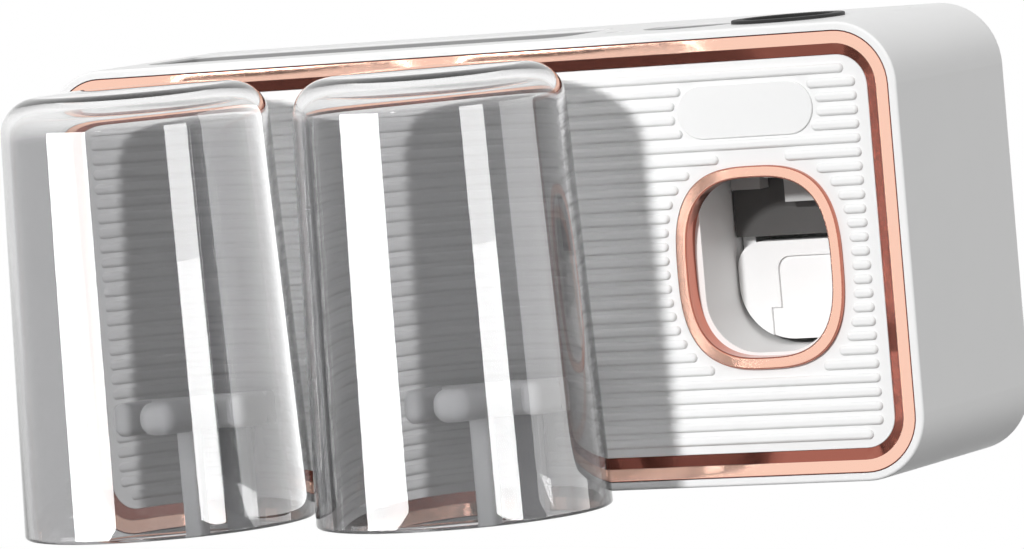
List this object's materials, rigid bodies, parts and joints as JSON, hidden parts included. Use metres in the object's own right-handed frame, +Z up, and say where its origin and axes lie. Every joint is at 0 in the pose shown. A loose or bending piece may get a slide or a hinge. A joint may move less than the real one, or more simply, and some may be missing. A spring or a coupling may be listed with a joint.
{
  "type": "toothpaste dispenser",
  "caption": "Wall-hung white toothpaste dispenser with a push lever in an oval opening, a tube port on top, ribbed front with rose gold trim, and clear cups hung upside down on brush hooks.",
  "frame": {"origin": "in the wall plane, behind the middle of the body", "axes": "+X to the right as seen from the front, +Y into the wall, +Z up"},
  "size_m": [0.222, 0.1345, 0.1089],
  "materials": {
    "white_shell": "smooth moulded, glossy",
    "rose_gold": "electroplated rose gold, mirror smooth",
    "clear_cup": "clear moulded",
    "grey_hook": "smooth moulded",
    "black_soft": "soft, matte",
    "dark_guard": "fine matte",
    "clear_soft": "soft, satin",
    "steel": "bright drawn",
    "adhesive": "tacky foam sheet"
  },
  "bodies": {
    "wall_mount": {"adhesive_pad": "adhesive", "wall_plate": "white_shell"},
    "body": {"rear_housing": "white_shell", "front_panel": "white_shell", "trim_ring": "rose_gold", "oval_bezel": "rose_gold", "label_pad": "white_shell", "top_tray": "white_shell", "port_collar": "black_soft", "dispenser_chamber": "white_shell", "pump_body": "white_shell", "nozzle": "clear_soft", "tube_adapter": "clear_soft", "inlet_valve": "clear_soft", "splash_guard": "dark_guard", "pivot_pins": "steel", "return_spring": "steel", "panel_screws": "steel", "chamber_screws": "steel", "pump_screws": "steel", "hook_screws": "steel", "cup_hook_left": "grey_hook", "cup_hook_right": "grey_hook"},
    "lever": {"push_lever": "white_shell"},
    "pump_piston": {"piston": "white_shell", "piston_seal": "black_soft"},
    "left_cup": {"cup_left": "clear_cup"},
    "right_cup": {"cup_right": "clear_cup"}
  },
  "joints": [
    {"name": "body_lift", "type": "slide", "parent": "wall_mount", "child": "body", "axis": [0, 0, 1], "range_m": [0, 0.007]},
    {"name": "lever_swing", "type": "hinge", "parent": "body", "child": "lever", "pos_m": [0.0731, -0.0335, 0.012], "axis": [1, 0, 0], "range_deg": [0, 14], "stiffness_Nm_per_rad": 0.2, "springref_deg": -5.73, "deforming": ["return_spring"]},
    {"name": "piston_push", "type": "slide", "parent": "body", "child": "pump_piston", "axis": [0, -1, 0], "range_m": [0, 0.0041]},
    {"name": "cup_left_lift", "type": "slide", "parent": "body", "child": "left_cup", "axis": [0, 0, 1], "range_m": [0, 0.06]},
    {"name": "cup_right_lift", "type": "slide", "parent": "body", "child": "right_cup", "axis": [0, 0, 1], "range_m": [0, 0.06]}
  ],
  "couplings": [
    {"joint": "piston_push", "follows": "lever_swing", "m_per_rad": 0.0166}
  ]
}
